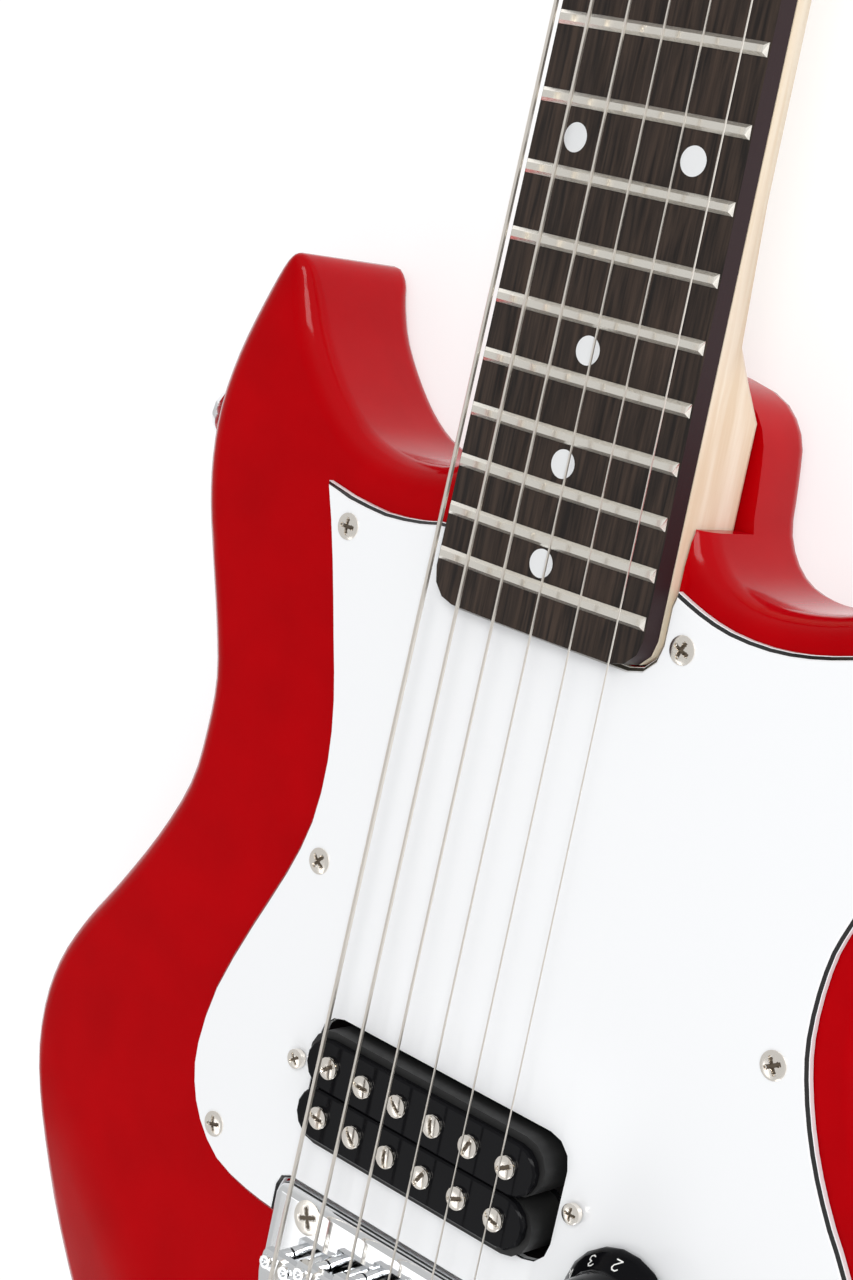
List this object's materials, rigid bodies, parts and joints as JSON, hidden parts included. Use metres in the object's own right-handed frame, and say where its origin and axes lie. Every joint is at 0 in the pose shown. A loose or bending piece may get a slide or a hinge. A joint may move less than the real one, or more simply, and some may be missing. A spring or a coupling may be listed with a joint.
{
  "type": "electric guitar",
  "caption": "Small solid-body electric guitar with unequal horns, bolted neck, narrow double-coil pickup, plate bridge with sliding saddles, geared tuners and dial knobs.",
  "frame": {"origin": "on the flat back of the body, below the point where the saddle line crosses the centre line of the neck and bridge", "axes": "+Z out of the body's face towards the strings, +Y along the neck to the headstock, +X to the treble side"},
  "size_m": [0.2575, 0.7307, 0.0555],
  "materials": {
    "lacquer": "gloss",
    "maple": "satin",
    "rosewood": "satin",
    "bone": "satin",
    "guard": "gloss",
    "chrome": "polished",
    "nickel": "satin",
    "black": "gloss",
    "tape": "matte",
    "steel": "satin",
    "string_steel": "bright"
  },
  "bodies": {
    "guitar": {"body": "lacquer", "neck": "maple", "fretboard": "rosewood", "nut": "bone", "truss_rod": "steel", "neck_plate": "chrome", "pickguard": "guard", "bridge_plate": "chrome", "string_low_e": "string_steel", "tuner_case_low_e": "chrome", "string_a": "string_steel", "tuner_case_a": "chrome", "string_d": "string_steel", "tuner_case_d": "chrome", "string_g": "string_steel", "tuner_case_g": "chrome", "string_b": "string_steel", "tuner_case_b": "chrome", "string_high_e": "string_steel", "tuner_case_high_e": "chrome", "volume_pot": "steel", "tone_pot": "steel", "output_jack": "chrome", "strap_button_end": "chrome", "strap_button_horn": "chrome"},
    "saddle_low_e": {"saddle_low_e": "chrome"},
    "intonation_screw_low_e": {"intonation_screw_low_e": "steel"},
    "tuner_post_low_e": {"tuner_post_low_e": "chrome"},
    "tuner_button_low_e": {"tuner_button_low_e": "chrome"},
    "saddle_a": {"saddle_a": "chrome"},
    "intonation_screw_a": {"intonation_screw_a": "steel"},
    "tuner_post_a": {"tuner_post_a": "chrome"},
    "tuner_button_a": {"tuner_button_a": "chrome"},
    "saddle_d": {"saddle_d": "chrome"},
    "intonation_screw_d": {"intonation_screw_d": "steel"},
    "tuner_post_d": {"tuner_post_d": "chrome"},
    "tuner_button_d": {"tuner_button_d": "chrome"},
    "saddle_g": {"saddle_g": "chrome"},
    "intonation_screw_g": {"intonation_screw_g": "steel"},
    "tuner_post_g": {"tuner_post_g": "chrome"},
    "tuner_button_g": {"tuner_button_g": "chrome"},
    "saddle_b": {"saddle_b": "chrome"},
    "intonation_screw_b": {"intonation_screw_b": "steel"},
    "tuner_post_b": {"tuner_post_b": "chrome"},
    "tuner_button_b": {"tuner_button_b": "chrome"},
    "saddle_high_e": {"saddle_high_e": "chrome"},
    "intonation_screw_high_e": {"intonation_screw_high_e": "steel"},
    "tuner_post_high_e": {"tuner_post_high_e": "chrome"},
    "tuner_button_high_e": {"tuner_button_high_e": "chrome"},
    "pickup": {"pickup_baseplate": "nickel", "front_bobbin": "black", "rear_bobbin": "black", "front_coil": "tape", "rear_coil": "tape", "pickup_magnet": "steel"},
    "pickup_screw_bass": {"pickup_screw_bass": "nickel"},
    "pickup_screw_treble": {"pickup_screw_treble": "nickel"},
    "volume_knob": {"volume_knob": "black"},
    "tone_knob": {"tone_knob": "black"}
  },
  "joints": [
    {"name": "intonation_turn_low_e", "type": "hinge", "parent": "guitar", "child": "intonation_screw_low_e", "pos_m": [-0.02625, -0.0289, 0.0412], "axis": [0, 1, 0], "range_deg": [-2160, 720]},
    {"name": "saddle_slide_low_e", "type": "slide", "parent": "guitar", "child": "saddle_low_e", "axis": [0, 1, 0], "range_m": [-0.001, 0.003]},
    {"name": "button_turn_low_e", "type": "hinge", "parent": "guitar", "child": "tuner_button_low_e", "pos_m": [-0.024, 0.502, 0.0119], "axis": [-1, 0, 0], "continuous": true},
    {"name": "post_turn_low_e", "type": "hinge", "parent": "guitar", "child": "tuner_post_low_e", "pos_m": [-0.024, 0.508, 0.0316], "axis": [0, 0, 1], "continuous": true},
    {"name": "intonation_turn_a", "type": "hinge", "parent": "guitar", "child": "intonation_screw_a", "pos_m": [-0.01575, -0.0289, 0.0412], "axis": [0, 1, 0], "range_deg": [-2160, 720]},
    {"name": "saddle_slide_a", "type": "slide", "parent": "guitar", "child": "saddle_a", "axis": [0, 1, 0], "range_m": [-0.001, 0.003]},
    {"name": "button_turn_a", "type": "hinge", "parent": "guitar", "child": "tuner_button_a", "pos_m": [-0.024, 0.535, 0.0119], "axis": [-1, 0, 0], "continuous": true},
    {"name": "post_turn_a", "type": "hinge", "parent": "guitar", "child": "tuner_post_a", "pos_m": [-0.024, 0.541, 0.0316], "axis": [0, 0, 1], "continuous": true},
    {"name": "intonation_turn_d", "type": "hinge", "parent": "guitar", "child": "intonation_screw_d", "pos_m": [-0.00525, -0.0289, 0.0412], "axis": [0, 1, 0], "range_deg": [-2160, 720]},
    {"name": "saddle_slide_d", "type": "slide", "parent": "guitar", "child": "saddle_d", "axis": [0, 1, 0], "range_m": [-0.001, 0.003]},
    {"name": "button_turn_d", "type": "hinge", "parent": "guitar", "child": "tuner_button_d", "pos_m": [-0.024, 0.568, 0.0119], "axis": [-1, 0, 0], "continuous": true},
    {"name": "post_turn_d", "type": "hinge", "parent": "guitar", "child": "tuner_post_d", "pos_m": [-0.024, 0.574, 0.0316], "axis": [0, 0, 1], "continuous": true},
    {"name": "intonation_turn_g", "type": "hinge", "parent": "guitar", "child": "intonation_screw_g", "pos_m": [0.00525, -0.0289, 0.0412], "axis": [0, 1, 0], "range_deg": [-2160, 720]},
    {"name": "saddle_slide_g", "type": "slide", "parent": "guitar", "child": "saddle_g", "axis": [0, 1, 0], "range_m": [-0.001, 0.003]},
    {"name": "button_turn_g", "type": "hinge", "parent": "guitar", "child": "tuner_button_g", "pos_m": [0.024, 0.568, 0.0119], "axis": [1, 0, 0], "continuous": true},
    {"name": "post_turn_g", "type": "hinge", "parent": "guitar", "child": "tuner_post_g", "pos_m": [0.024, 0.574, 0.0316], "axis": [0, 0, 1], "continuous": true},
    {"name": "intonation_turn_b", "type": "hinge", "parent": "guitar", "child": "intonation_screw_b", "pos_m": [0.01575, -0.0289, 0.0412], "axis": [0, 1, 0], "range_deg": [-2160, 720]},
    {"name": "saddle_slide_b", "type": "slide", "parent": "guitar", "child": "saddle_b", "axis": [0, 1, 0], "range_m": [-0.001, 0.003]},
    {"name": "button_turn_b", "type": "hinge", "parent": "guitar", "child": "tuner_button_b", "pos_m": [0.024, 0.535, 0.0119], "axis": [1, 0, 0], "continuous": true},
    {"name": "post_turn_b", "type": "hinge", "parent": "guitar", "child": "tuner_post_b", "pos_m": [0.024, 0.541, 0.0316], "axis": [0, 0, 1], "continuous": true},
    {"name": "intonation_turn_high_e", "type": "hinge", "parent": "guitar", "child": "intonation_screw_high_e", "pos_m": [0.02625, -0.0289, 0.0412], "axis": [0, 1, 0], "range_deg": [-2160, 720]},
    {"name": "saddle_slide_high_e", "type": "slide", "parent": "guitar", "child": "saddle_high_e", "axis": [0, 1, 0], "range_m": [-0.001, 0.003]},
    {"name": "button_turn_high_e", "type": "hinge", "parent": "guitar", "child": "tuner_button_high_e", "pos_m": [0.024, 0.502, 0.0119], "axis": [1, 0, 0], "continuous": true},
    {"name": "post_turn_high_e", "type": "hinge", "parent": "guitar", "child": "tuner_post_high_e", "pos_m": [0.024, 0.508, 0.0316], "axis": [0, 0, 1], "continuous": true},
    {"name": "pickup_screw_turn_bass", "type": "hinge", "parent": "guitar", "child": "pickup_screw_bass", "pos_m": [-0.0393, 0.0415, 0.0378], "axis": [0, 0, 1], "range_deg": [-720, 2880]},
    {"name": "pickup_screw_turn_treble", "type": "hinge", "parent": "guitar", "child": "pickup_screw_treble", "pos_m": [0.0393, 0.0415, 0.0378], "axis": [0, 0, 1], "range_deg": [-720, 2880]},
    {"name": "pickup_slide", "type": "slide", "parent": "guitar", "child": "pickup", "axis": [0, 0, 1], "range_m": [-0.004, 0.001]},
    {"name": "volume_turn", "type": "hinge", "parent": "guitar", "child": "volume_knob", "pos_m": [0.055, 0.0276, 0.0389], "axis": [0, 0, 1], "range_deg": [-150, 150]},
    {"name": "tone_turn", "type": "hinge", "parent": "guitar", "child": "tone_knob", "pos_m": [0.084, 0.004, 0.0389], "axis": [0, 0, 1], "range_deg": [-150, 150]}
  ],
  "couplings": [
    {"joint": "intonation_turn_low_e", "follows": "saddle_slide_low_e", "rad_per_m": -12566},
    {"joint": "post_turn_low_e", "follows": "button_turn_low_e", "ratio": 0.071429},
    {"joint": "intonation_turn_a", "follows": "saddle_slide_a", "rad_per_m": -12566},
    {"joint": "post_turn_a", "follows": "button_turn_a", "ratio": 0.071429},
    {"joint": "intonation_turn_d", "follows": "saddle_slide_d", "rad_per_m": -12566},
    {"joint": "post_turn_d", "follows": "button_turn_d", "ratio": 0.071429},
    {"joint": "intonation_turn_g", "follows": "saddle_slide_g", "rad_per_m": -12566},
    {"joint": "post_turn_g", "follows": "button_turn_g", "ratio": 0.071429},
    {"joint": "intonation_turn_b", "follows": "saddle_slide_b", "rad_per_m": -12566},
    {"joint": "post_turn_b", "follows": "button_turn_b", "ratio": 0.071429},
    {"joint": "intonation_turn_high_e", "follows": "saddle_slide_high_e", "rad_per_m": -12566},
    {"joint": "post_turn_high_e", "follows": "button_turn_high_e", "ratio": 0.071429},
    {"joint": "pickup_screw_turn_bass", "follows": "pickup_slide", "rad_per_m": -12566},
    {"joint": "pickup_screw_turn_treble", "follows": "pickup_slide", "rad_per_m": -12566}
  ]
}
